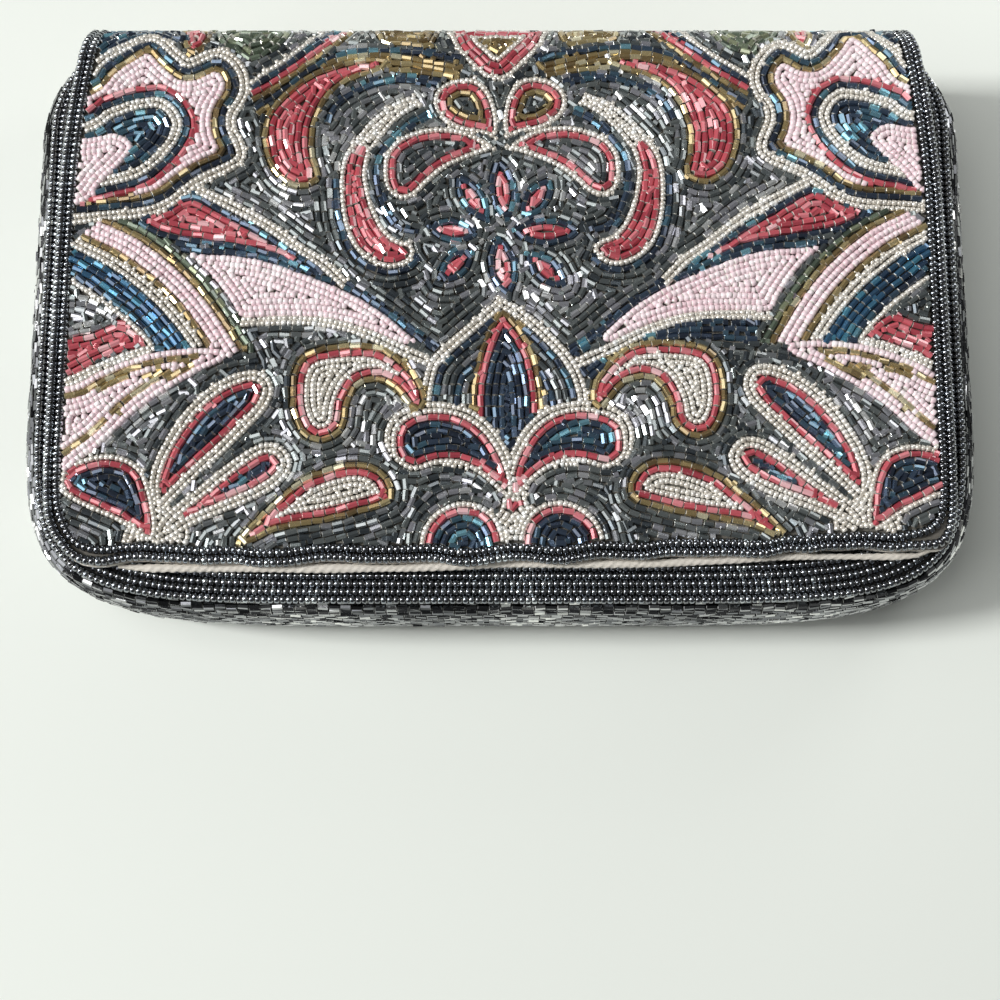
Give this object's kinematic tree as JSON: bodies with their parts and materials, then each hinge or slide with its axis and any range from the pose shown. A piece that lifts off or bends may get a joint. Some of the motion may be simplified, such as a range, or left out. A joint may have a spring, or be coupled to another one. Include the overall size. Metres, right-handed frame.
{
  "type": "beaded clutch",
  "caption": "Flat evening clutch with a U-shaped gusset, a folding spine and a full flap, covered in sewn glass beads.",
  "frame": {"origin": "centre of the bag's footprint on the surface that its back lies on", "axes": "+X across the bag, +Y from its bottom edge to its spine, +Z out of its front"},
  "size_m": [0.225, 0.147, 0.0396],
  "materials": {
    "bugle_beads": "short faceted gunmetal bugle beads sewn in rows",
    "patterned_beads": "faceted bugle and seed beads in a scrolling floral pattern of pink, red, bronze, blue and silver",
    "seed_beads": "round gunmetal seed beads in close rows",
    "ground_cloth": "closely woven ground cloth",
    "stiffener_board": "plain stiffening board",
    "satin": "cream satin with fine ribs along its rolled edge",
    "snap_metal": "polished nickel plate"
  },
  "bodies": {
    "pouch": {"back_beads": "bugle_beads", "back_edging": "seed_beads", "back_cloth": "ground_cloth", "back_board": "stiffener_board", "back_lining": "satin", "slip_pocket": "satin", "gusset_beads": "bugle_beads", "gusset_cloth": "ground_cloth", "gusset_lining": "satin", "front_beads": "bugle_beads", "front_edging": "seed_beads", "front_cloth": "ground_cloth", "front_board": "stiffener_board", "front_lining": "satin", "snap_socket": "snap_metal", "snap_socket_washer": "snap_metal"},
    "spine": {"spine_beads": "patterned_beads", "spine_edging_left": "seed_beads", "spine_edging_right": "seed_beads", "spine_cloth": "ground_cloth", "spine_board": "stiffener_board", "spine_lining": "satin"},
    "flap": {"flap_beads": "patterned_beads", "flap_edging": "seed_beads", "flap_cloth": "ground_cloth", "flap_board": "stiffener_board", "flap_lining": "satin", "flap_piping": "satin", "snap_stud": "snap_metal", "snap_stud_washer": "snap_metal"}
  },
  "joints": [
    {"name": "spine_fold", "type": "hinge", "parent": "pouch", "child": "spine", "pos_m": [0, 0.07057, 0.00293], "axis": [-1, 0, 0], "range_deg": [0, 90]},
    {"name": "flap_fold", "type": "hinge", "parent": "spine", "child": "flap", "pos_m": [0, 0.07057, 0.03667], "axis": [-1, 0, 0], "range_deg": [0, 90]}
  ]
}
